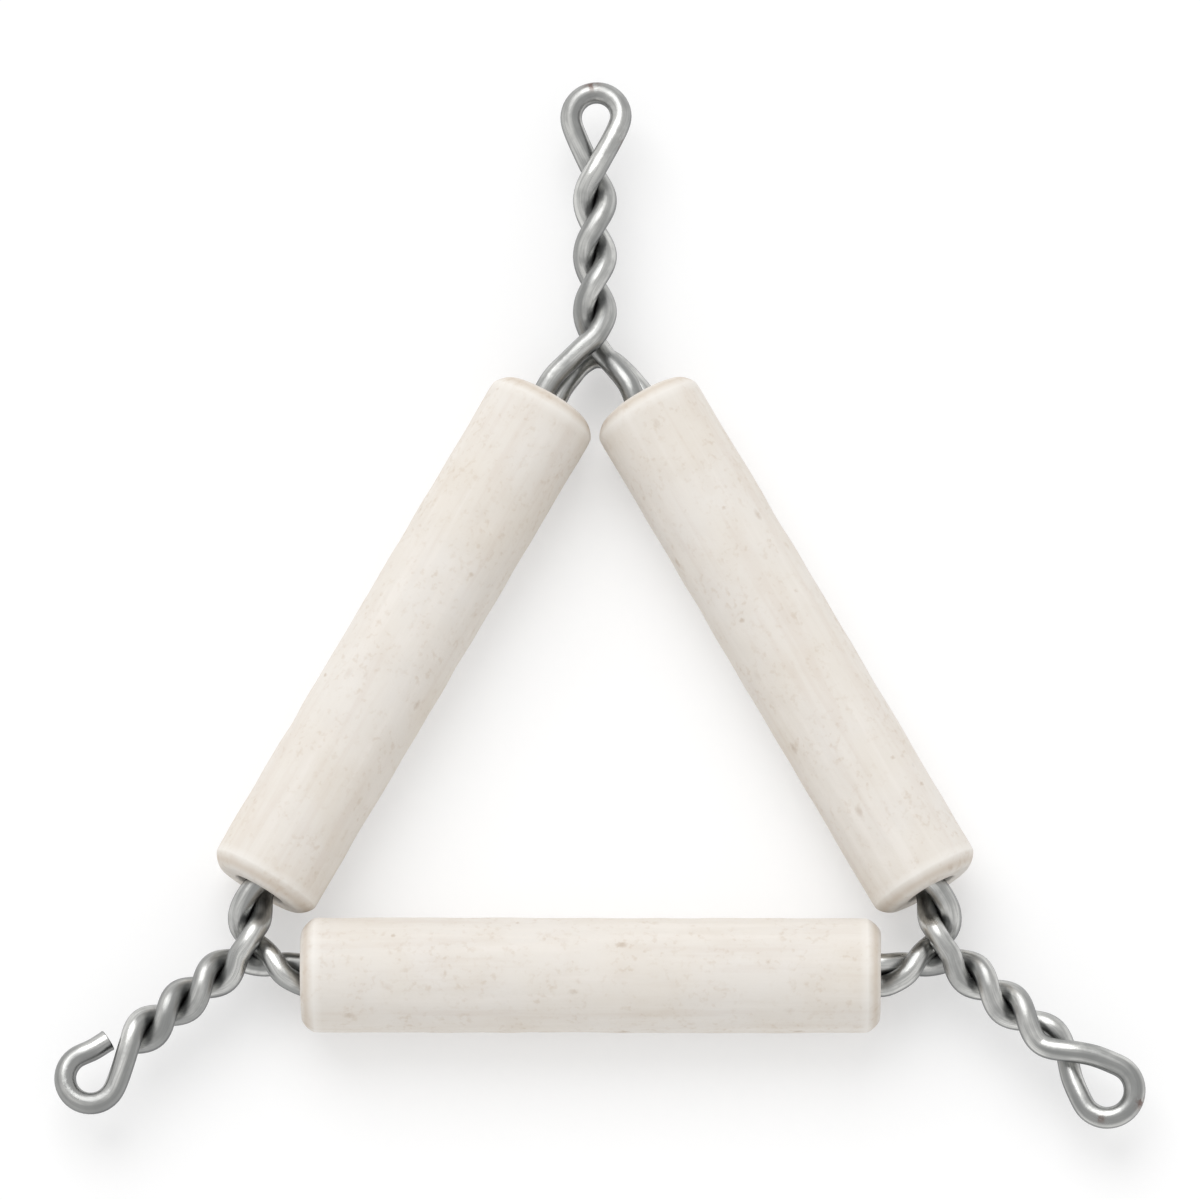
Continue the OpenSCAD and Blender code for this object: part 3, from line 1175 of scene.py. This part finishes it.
@dataclass
class WireFrame:
    """The one wire that holds the tubes, forms the arms and ends in the eyes.

    Attributes:
        route: The wire's middle line.
        finish: What the wire is made of.
        sides: Points round the wire.
        spacing: Distance between the rings of points.
        samples: Samples of the route for each ring.
        ease: How far the kinks of the route are rounded off.
        flaw_depth: Depth of the dents that the die leaves, as a share of the radius.
        flaw_size: Size of these dents.
        flaw_seed: Picks these dents.
        apart: Length of wire between two different strands, in diameters.
        press_depth: How far strands that touch are pressed into each other.
        press_reach: Gap from which a strand starts to swell towards the next.
        press_slope: How much it swells for each millimetre below that gap.
        groove_reach: Gap between two strands at which the painted shade of a groove has faded out.
        groove_power: How quickly the painted shade of a groove darkens towards the other strand.
        cut_dark: How far the painted shade of a cut end reaches, and how dark it is as a share of
            the shade in a groove.
        rubbed: Steepness of the surface, as the height of its outward direction, where the
        painted shade of the strands' sides starts to lift and where it is gone.
        burr: Rings of a cut end, as (distance from the end, share of the wire's radius).
        spots: Where the zinc is worn through.
        spot_height: Height of these spots on the wire, as a share of the radius.
    """

    route: WireRoute
    finish: GalvanisedWire = GalvanisedWire()
    sides: int = 24
    spacing: float = 0.3
    samples: int = 3
    ease: float = 0.3
    flaw_depth: float = 0.006
    flaw_size: float = 3.0
    flaw_seed: int = 11
    apart: float = 3.0
    press_depth: float = 0.012
    press_reach: float = 0.3
    press_slope: float = 0.25
    groove_reach: float = 0.25
    groove_power: float = 1.3
    cut_dark: Span = (0.12, 0.7)
    rubbed: Span = (0.1, 0.6)
    burr: tuple[Span, ...] = ((0.25, 1.0), (0.12, 1.02), (0.04, 1.025), (0.0, 0.96))
    spots: tuple[WornSpot, ...] = (
        WornSpot("top", -8, 0.6, 0.6),
        WornSpot("top", 142, 1.0, 0.5),
        WornSpot("right", -22, 0.75, 0.5),
        WornSpot("right", 60, 0.3, 0.3),
    )
    spot_height: float = 0.7

    def middle_line(self) -> Array:
        """The eased middle line, as points at even distances."""
        fine = spline(self.route.stops(), self.spacing / self.samples)
        return eased(evenly_spaced(fine, self.spacing), self.spacing, self.ease)

    def rings(self, line: Array) -> tuple[Array, Array]:
        """Rings of points round the middle line, square to it: middle + r (cos t sideways +
        sin t up), with a small burr at both ends.

        Args:
            line: The wire's middle line.

        Returns:
            The points of the rings, and each point's own place as [along, sideways, up].
        """
        run = run_along(line)
        back, share = np.array(self.burr).T
        places = np.concatenate([back[::-1], run[2:-2], run[-1] - back])
        shares = np.concatenate([share[::-1], np.ones(len(run) - 4), share])
        middle = read_off(places, run, line)
        heading = unit(read_off(places, run, unit(np.gradient(line, axis=0))))
        sideways = unit(np.cross(heading, UP))
        up = np.cross(sideways, heading)
        turn = np.arange(self.sides) * 2 * np.pi / self.sides
        local = np.empty((len(places), self.sides, 3))
        local[..., 0] = places[:, None]
        local[..., 1] = np.cos(turn)
        local[..., 2] = np.sin(turn)
        flaw = self.flaw_depth * ripple(local * [1.0, 2.0, 2.0], self.flaw_size, self.flaw_seed)
        radius = self.route.wire_d / 2 * shares[:, None] * (1 - np.abs(flaw))
        local[..., 1:] *= radius[..., None]
        across = local[..., 1:2] * sideways[:, None]
        return middle[:, None] + across + local[..., 2:] * up[:, None], local

    def gaps(self, points: Array, local: Array) -> Array:
        """Gap from each point to the nearest other strand: the distance to that strand's middle
        line less its radius. Strands count as different where enough wire lies between them.

        Args:
            points: The rings of points.
            local: Each point's place along and round the wire.

        Returns:
            One gap for each point of the rings.
        """
        along = local[:, 0, 0]
        middle = points.mean(axis=1)
        same = np.abs(along[:, None] - along[None, :]) < self.apart * self.route.wire_d
        gap = np.empty(points.shape[:2])
        for side in range(self.sides):
            apart = np.linalg.norm(points[:, side][:, None] - middle[None], axis=2)
            apart[same] = np.inf
            gap[:, side] = apart.min(axis=1) - self.route.wire_d / 2
        return gap

    def pressed(self, gap: Array) -> Array:
        """How far each point swells out, so that strands twisted together touch each other."""
        swelling = (self.press_reach - gap) * self.press_slope
        return np.clip(np.minimum(gap / 2 + self.press_depth, swelling), 0, None)

    def darkened(self, gap: Array, run: Array) -> Array:
        """How deep the painted shade is at each point, in the grooves between strands and at the
        cut ends.

        Args:
            gap: Gap from each point to the nearest other strand.
            run: Distance of each point along the wire.

        Returns:
            One number for each point, 1 where the strands touch.
        """
        # Painted shade in the grooves between strands, and at the cut ends.
        groove = np.clip(1 - gap / self.groove_reach, 0, 1) ** self.groove_power
        from_end = np.minimum(run - run.min(), run.max() - run)
        reach, share = self.cut_dark
        return np.maximum(groove, share * np.clip(1 - from_end / reach, 0, 1))

    def flat_face_share(self, local: Array) -> Array:
        """How free of the sides' painted shade each point is: t^2 (3 - 2 t), where t rises with the
        steepness.

        Args:
            local: Each point's place along and round the wire.

        Returns:
            One number for each point, 1 on the broad faces.
        """
        low, high = self.rubbed
        height = np.abs(local[..., 2]) / np.linalg.norm(local[..., 1:], axis=-1)
        ramp = np.clip((height - low) / (high - low), 0, 1)
        return ramp * ramp * (3 - 2 * ramp)

    def worn(self, points: Array) -> Array:
        """How worn the zinc is at each point: exp(-(distance / radius)^2) round each spot.

        Args:
            points: The rings of points.

        Returns:
            One number for each point, 1 in a spot's middle.
        """
        wear = np.zeros(points.shape[:2])
        for spot in self.spots:
            corner = getattr(self.route, spot.corner)
            axis = corner.eye_axis()
            turn = math.radians(spot.bearing)
            rim = axis * math.cos(turn) + square_to(axis) * math.sin(turn)
            plane = corner.eye_middle() + rim * (corner.eye_r + spot.offset)
            height = self.route.wire_d / 2 * self.spot_height
            place = self.route.placed(corner, np.array([[plane[0], plane[1], height]]))[0]
            far = np.linalg.norm(points - place, axis=2)
            wear = np.maximum(wear, np.exp(-((far / spot.radius) ** 2)))
        return wear

    def build(self) -> bpy.types.Object:
        """Builds, dresses and places the wire.

        Returns:
            The wire's object.
        """
        points, local = self.rings(self.middle_line())
        rows = len(points)
        gap = self.gaps(points, local)
        outward = unit(points - points.mean(axis=1, keepdims=True))
        points = points + outward * self.pressed(gap)[..., None]
        faces = grid_faces(rows, self.sides, False)[:, ::-1].tolist()
        faces.append(list(range(self.sides)))
        faces.append(list(range(rows * self.sides - 1, (rows - 1) * self.sides - 1, -1)))
        wire = new_piece("twisted_wire", points.reshape(-1, 3), faces)
        paint(wire, "wire_place", local.reshape(-1, 3))
        # Painted shade in the grooves between strands and at the cut ends.
        paint(wire, "groove", self.darkened(gap, local[..., 0]).ravel())
        # Painted shade on the strands' sides, from how steep the surface is.
        paint(wire, "rubbed", self.flat_face_share(local).ravel())
        paint(wire, "worn", self.worn(points).ravel())
        wire.data.materials.append(self.finish.material())
        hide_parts("wire_frame")
        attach(wire, "frame")
        return wire


# ---------------------------------------------------------------- the tubes


@dataclass(frozen=True)
class Flaw:
    """An uneven hollow in the clay: depth (1 + tanh(sharp r)) / 2, where r is a ripple.

    Attributes:
        depth: Its greatest depth.
        size: Length of the ripple's waves.
        seed: Picks the waves, together with the tube's own seed.
        along: Scale along the tube, below 1 for longer hollows.
        sharp: How quickly it turns from shallow to deep.
    """

    depth: float
    size: float
    seed: int
    along: float = 1.0
    sharp: float = 1.0

    def at(self, place: Array, seed: int) -> Array:
        """Depth of the hollow at some points, with a tube's own seed."""
        waves = ripple(place * [self.along, 1.0, 1.0], self.size, self.seed + seed)
        return self.depth * (0.5 + 0.5 * np.tanh(self.sharp * waves))


@dataclass
class ClayTube:
    """One tube: a wall turned about its axis, with the flaws of soft clay cut by hand.

    Attributes:
        name: The piece's name.
        node: The CAD node that it stands for.
        body: The body that it rides on.
        middle: Middle of the tube.
        axis: Unit vector along the tube.
        length: Length of the tube.
        radius: Outer radius.
        bore_r: Radius of the bore.
        seed: Picks the flaws.
        end_round: Radius of the rounded ends.
        corner_power: Power of their superellipse, where a circle has 2.
        corner_reach: How far in from the end they are rubbed down, in their radii.
        mouth_round: Radius of the bore's rounded mouths.
        rim_width: Width of the toasted rims.
        rim_place: Where they lie under the end and the outside, in radii of the rounding.
        shoulder_width: Width of the painted highlights on the shoulders.
        shoulder_place: Where they lie under the end, in radii of the rounding.
        around: Points round the tube.
        step: Distance between the rings of the outside.
        rings: Rings of half the bore, a mouth, a face and a rounded end.
        out_of_round: Slow change of the outside along and round the tube.
        waviness: Quicker change of the outside.
        rubbed: Wear of the rounded ends.
        trim: Unevenness of the trimmed ends.
        trim_shift: How far apart the two ends lie in the pattern of this unevenness.
        dents: Number of dents.
        dent_reach: How far from the middle they lie, as a share of the length.
        dent_depth: Their least and greatest depth.
        dent_size: Their least and greatest size.
        dent_stretch: Their least and greatest scale along the tube.
        speck_shift: How far apart the tubes lie in the clay's patterns.
    """

    name: str
    node: str
    body: str
    middle: Array
    axis: Array
    length: float
    radius: float
    bore_r: float
    seed: int
    end_round: float = 1.2
    corner_power: float = 1.45
    corner_reach: float = 1.6
    mouth_round: float = 0.25
    rim_width: float = 0.4
    rim_place: float = 0.22
    shoulder_width: float = 0.3
    shoulder_place: float = 1.1
    around: int = 112
    step: float = 0.4
    rings: tuple[int, int, int, int] = (16, 6, 7, 13)
    out_of_round: Flaw = Flaw(0.05, 14.0, 1, along=0.35)
    waviness: Flaw = Flaw(0.05, 5.0, 2)
    rubbed: Flaw = Flaw(0.28, 6.0, 3, along=0.2, sharp=1.2)
    trim: Flaw = Flaw(0.1, 9.0, 4)
    trim_shift: float = 30.0
    dents: int = 26
    dent_reach: float = 0.48
    dent_depth: Span = (0.03, 0.1)
    dent_size: Span = (0.5, 1.4)
    dent_stretch: Span = (0.5, 1.0)
    speck_shift: float = 100.0

    def half_wall(self) -> Array:
        """One half of the wall's outline, from the middle of the bore out over the rounded end
        to the middle of the outside. The mouth is a quarter circle, and the outer corner is a
        quarter of the superellipse x^p + y^p = 1, flatter than a circle.

        Returns:
            Points as [distance along the axis, radius].
        """
        half = self.length / 2
        in_bore, in_mouth, on_face, on_end = self.rings
        bore = np.linspace(0, half - self.mouth_round, in_bore)[:-1]
        lip = np.linspace(0, np.pi / 2, in_mouth)[:-1]
        lip_back = self.mouth_round * (1 - np.sin(lip))
        lip_out = self.mouth_round * (1 - np.cos(lip))
        face_in, face_out = self.bore_r + self.mouth_round, self.radius - self.end_round
        face = np.linspace(face_in, face_out, on_face)[:-1]
        bend = np.linspace(0, np.pi / 2, on_end)
        end_back = self.end_round * (1 - np.cos(bend) ** (2 / self.corner_power))
        end_in = self.end_round * (1 - np.sin(bend) ** (2 / self.corner_power))
        wall = np.linspace(half - self.end_round, 0, round(half / self.step))[1:]
        parts = (
            (bore, np.full_like(bore, self.bore_r)),
            (half - lip_back, self.bore_r + lip_out),
            (np.full_like(face, half), face),
            (half - end_back, self.radius - end_in),
            (wall, np.full_like(wall, self.radius)),
        )
        return np.vstack([np.column_stack(part) for part in parts])

    def outline(self) -> Array:
        """The closed outline of the wall, as [distance along the axis, radius]."""
        half = self.half_wall()
        return np.vstack([half, half[::-1][1:-1] * [-1, 1]])

    def flaws(self, place: Array) -> tuple[Array, Array]:
        """How far each point is pushed in, towards the axis and along it.

        The wall is a little out of round and wavy, the trimmed ends wobble, the end corners
        are rubbed down unevenly, and shallow dents are pressed into the outside.

        Args:
            place: Points as [along, across, across] in the tube's own frame.

        Returns:
            Depths towards the axis, and depths towards the middle of the tube.
        """
        rng = np.random.default_rng(self.seed)
        along = place[..., 0]
        out = np.linalg.norm(place[..., 1:], axis=-1)
        outside = np.clip((out - self.bore_r) / (self.radius - self.bore_r), 0, 1)
        corner = self.corner_reach * self.end_round
        near_end = np.clip(1 - (self.length / 2 - np.abs(along)) / corner, 0, 1)
        inward = self.out_of_round.at(place, self.seed) + self.waviness.at(place, self.seed)
        inward = inward + self.rubbed.at(place, self.seed) * near_end**2 * outside**2
        for _ in range(self.dents):
            where = rng.uniform(-self.dent_reach, self.dent_reach) * self.length
            turn = rng.uniform(0, 2 * np.pi)
            size = rng.uniform(*self.dent_size)
            depth = rng.uniform(*self.dent_depth)
            spot = np.array([where, self.radius * np.cos(turn), self.radius * np.sin(turn)])
            stretch = np.array([rng.uniform(*self.dent_stretch), 1.0, 1.0])
            far = np.linalg.norm((place - spot) * stretch, axis=-1)
            inward = inward + depth * np.exp(-((far / size) ** 2))
        face = place.copy()
        face[..., 0] = np.sign(along) * self.trim_shift
        return inward * outside, self.trim.at(face, self.seed) * near_end * np.sign(along)

    def near_ring(self, place: Array, back: float, down: float, width: float) -> Array:
        """A bell curve round a ring near each end of the tube: exp(-(distance / width)^2).

        Args:
            place: Points as [along, across, across] in the tube's own frame.
            back: Distance of the ring from the end.
            down: Distance of the ring below the outside.
            width: Width of the curve.

        Returns:
            One value for each point, 1 on the ring.
        """
        out = np.linalg.norm(place[..., 1:], axis=-1)
        far = np.hypot(self.length / 2 - np.abs(place[..., 0]) - back, self.radius - out - down)
        return np.exp(-((far / width) ** 2))

    def build(self, finish: bpy.types.Material) -> bpy.types.Object:
        """Builds, dresses and places the tube.

        Args:
            finish: The clay's material.

        Returns:
            The tube's object.
        """
        outline = self.outline()
        turn = np.arange(self.around) * 2 * np.pi / self.around
        place = np.empty((len(outline), self.around, 3))
        place[..., 0] = outline[:, :1]
        place[..., 1] = outline[:, 1:] * np.cos(turn)
        place[..., 2] = outline[:, 1:] * np.sin(turn)
        inward, shorter = self.flaws(place)
        shaped = place.copy()
        radius = np.linalg.norm(place[..., 1:], axis=-1)
        shaped[..., 1:] *= ((radius - inward) / radius)[..., None]
        shaped[..., 0] -= shorter
        ways = np.array([self.axis, np.cross(UP, self.axis), UP])
        turned = sum(shaped[..., i : i + 1] * way for i, way in enumerate(ways))
        faces = grid_faces(len(outline), self.around, True)
        tube = new_piece(self.name, (turned + self.middle).reshape(-1, 3), faces.tolist())
        paint(tube, "tube_place", (place + [self.speck_shift * self.seed, 0, 0]).reshape(-1, 3))
        corner = self.rim_place * self.end_round
        rim = self.near_ring(place, corner, corner, self.rim_width)
        paint(tube, "rim", rim.ravel())
        # Painted highlight round each shoulder, where the rounded end meets the outside.
        back = self.shoulder_place * self.end_round
        paint(tube, "shoulder", self.near_ring(place, back, 0.0, self.shoulder_width).ravel())
        tube.data.materials.append(finish)
        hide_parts(self.node)
        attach(tube, self.body)
        return tube


# ---------------------------------------------------------------- the studio


@dataclass(frozen=True)
class Studio:
    """A plain white table under one soft key light and an even sky.

    Attributes:
        floor_size: Width of the table, in metres.
        floor_colour: Colour of the table.
        key_way: Direction that the key light comes from.
        key_strength: Light that the key puts on a surface that faces it.
        key_spread: Angle that the key covers, in degrees.
        fill: Strength of the sky.
        lift: Share of plain white that the eye and the shiny wire see of the table, so that it
            looks white under the shadow too.
    """

    floor_size: float = 6.0
    floor_colour: str = "#FFFFFF"
    key_way: tuple[float, float, float] = (-0.25, 0.8, 1.0)
    key_strength: float = 1.15
    key_spread: float = 50.0
    fill: float = 0.78
    lift: float = 0.35

    def build(self) -> None:
        """Builds the table, the sky and the key light."""
        self.table()
        self.sky()
        self.key()

    def table(self) -> None:
        """Lays the table at the height that the tubes rest on."""
        half = self.floor_size / 2
        signs = np.array([[-1, -1, 0], [1, -1, 0], [1, 1, 0], [-1, 1, 0]])
        corners = signs * half
        floor = new_piece("table_top", corners / MM, [[0, 1, 2, 3]])
        material = bpy.data.materials.new("white_table")
        material.use_nodes = True
        tree = material.node_tree
        tree.nodes.clear()
        colour = linear(self.floor_colour)
        matt = add_node(tree, "ShaderNodeBsdfDiffuse", {"Color": colour})
        white = add_node(tree, "ShaderNodeEmission", {"Color": colour, "Strength": 1.0})
        ray = add_node(tree, "ShaderNodeLightPath").outputs
        rays = {0: ray["Is Camera Ray"], 1: ray["Is Glossy Ray"]}
        seen = add_node(tree, "ShaderNodeMath", {"operation": "MAXIMUM"}, rays)
        lifted = {"operation": "MULTIPLY", 1: self.lift}
        share = add_node(tree, "ShaderNodeMath", lifted, {0: seen.outputs["Value"]})
        shaders = {0: share.outputs["Value"], 1: matt.outputs["BSDF"], 2: white.outputs["Emission"]}
        mixed = add_node(tree, "ShaderNodeMixShader", links=shaders)
        add_node(tree, "ShaderNodeOutputMaterial", links={"Surface": mixed.outputs["Shader"]})
        floor.data.materials.append(material)
        floor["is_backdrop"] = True

    def sky(self) -> None:
        """Sets an even white sky."""
        world = bpy.data.worlds.new("white_sky")
        bpy.context.scene.world = world
        world.use_nodes = True
        background = world.node_tree.nodes["Background"]
        background.inputs["Color"].default_value = (1, 1, 1, 1)
        background.inputs["Strength"].default_value = self.fill

    def key(self) -> None:
        """Hangs the key light."""
        light = bpy.data.lights.new("key", "SUN")
        light.energy = self.key_strength
        light.angle = math.radians(self.key_spread)
        lamp = bpy.data.objects.new("key", light)
        way = Vector(self.key_way)
        lamp.rotation_euler = way.to_track_quat("Z", "Y").to_euler()
        bpy.context.scene.collection.objects.link(lamp)


@dataclass(frozen=True)
class Camera:
    """A long lens that looks down on the triangle, a little from the base tube's side.

    Attributes:
        elevation: Height over the horizon, in degrees.
        lens: Focal length, in millimetres.
        fill: Share of the picture that the object's longer side takes.
        sensor: Width of the sensor, in millimetres.
        sight: How far the camera sees, in metres.
    """

    elevation: float = 79.0
    lens: float = 300.0
    fill: float = 0.9
    sensor: float = 36.0
    sight: float = 50.0

    def build(self, low: Array, high: Array) -> None:
        """Points the camera at the middle of a box and backs it off until the box fits.

        Args:
            low: Lowest corner of the object's box, in metres.
            high: Highest corner.
        """
        middle = (low + high) / 2
        size = float(max(high[:2] - low[:2])) / self.fill
        distance = size * self.lens / self.sensor
        slope = math.radians(self.elevation)
        data = bpy.data.cameras.new("camera")
        data.lens = self.lens
        data.sensor_width = self.sensor
        data.clip_end = self.sight
        camera = bpy.data.objects.new("camera", data)
        away = np.array([0.0, -math.cos(slope), math.sin(slope)])
        camera.location = middle + away * distance
        camera.rotation_euler = (math.radians(90) - slope, 0.0, 0.0)
        bpy.context.scene.collection.objects.link(camera)
        bpy.context.scene.camera = camera


# ---------------------------------------------------------------- the whole triangle


@dataclass
class ClayTriangle:
    """The wire and its three tubes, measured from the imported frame.

    Attributes:
        bore_clearance: Room between the pair of strands and the bore.
        clay: What the tubes are made of.
        pieces: The pieces that are built.
    """

    frame: dict[str, Any]
    bore_clearance: float = 0.26
    clay: FiredClay = FiredClay()
    pieces: list[bpy.types.Object] = field(default_factory=list)

    def base_box(self) -> Array:
        """Lowest and highest corner of the base tube, which lies along X."""
        return np.array([list(corner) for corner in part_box("clay_tube_base")]) / MM

    def route(self) -> WireRoute:
        """The wire's route, from the place and size of the base tube.

        Returns:
            The route.
        """
        low, high = self.base_box()
        middle = (low + high) / 2
        return WireRoute(tube_len=high[0] - low[0], axis_height=middle[2], corner_r=-2 * middle[1])

    def tubes(self, route: WireRoute) -> list[ClayTube]:
        """The three tubes, each on the joint that it turns about.

        Args:
            route: The wire's route.

        Returns:
            The tubes.
        """
        low, high = self.base_box()
        bore_r = route.wire_d + route.strand_gap / 2 + self.bore_clearance
        joints = {joint["child"]: joint for joint in self.frame["record"]["behaviour"]["joints"]}
        found = []
        for seed, body in enumerate(("left_tube", "right_tube", "base_tube"), start=1):
            side = body.removesuffix("_tube")
            joint = joints[body]
            found.append(
                ClayTube(
                    name=f"clay_{side}",
                    node=f"clay_tube_{side}",
                    body=body,
                    middle=np.array(joint["pos_m"]) / MM,
                    axis=unit(np.array(joint["axis"], dtype=float)),
                    length=high[0] - low[0],
                    radius=(high[1] - low[1]) / 2,
                    bore_r=bore_r,
                    seed=seed,
                )
            )
        return found

    def build(self) -> None:
        """Builds every piece."""
        route = self.route()
        self.pieces.append(WireFrame(route).build())
        material = self.clay.material()
        self.pieces.extend(tube.build(material) for tube in self.tubes(route))
        for piece in self.pieces:
            LOG.info("%s: %d faces", piece.name, len(piece.data.polygons))


def plain_box(bounds: tuple) -> list[list[float]]:
    """A box's two corners as plain lists of numbers."""
    return [[float(value) for value in corner] for corner in bounds]


def main() -> None:
    """Builds the triangle, the studio and the camera."""
    logging.basicConfig(level=logging.INFO, format="%(name)s: %(message)s")
    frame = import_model()
    cad_box = plain_box(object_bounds())
    bpy.context.scene.view_settings.view_transform = "Standard"
    Camera().build(*(np.array(corner) for corner in cad_box))
    ClayTriangle(frame).build()
    Studio().build()


if __name__ == "__main__":
    main()
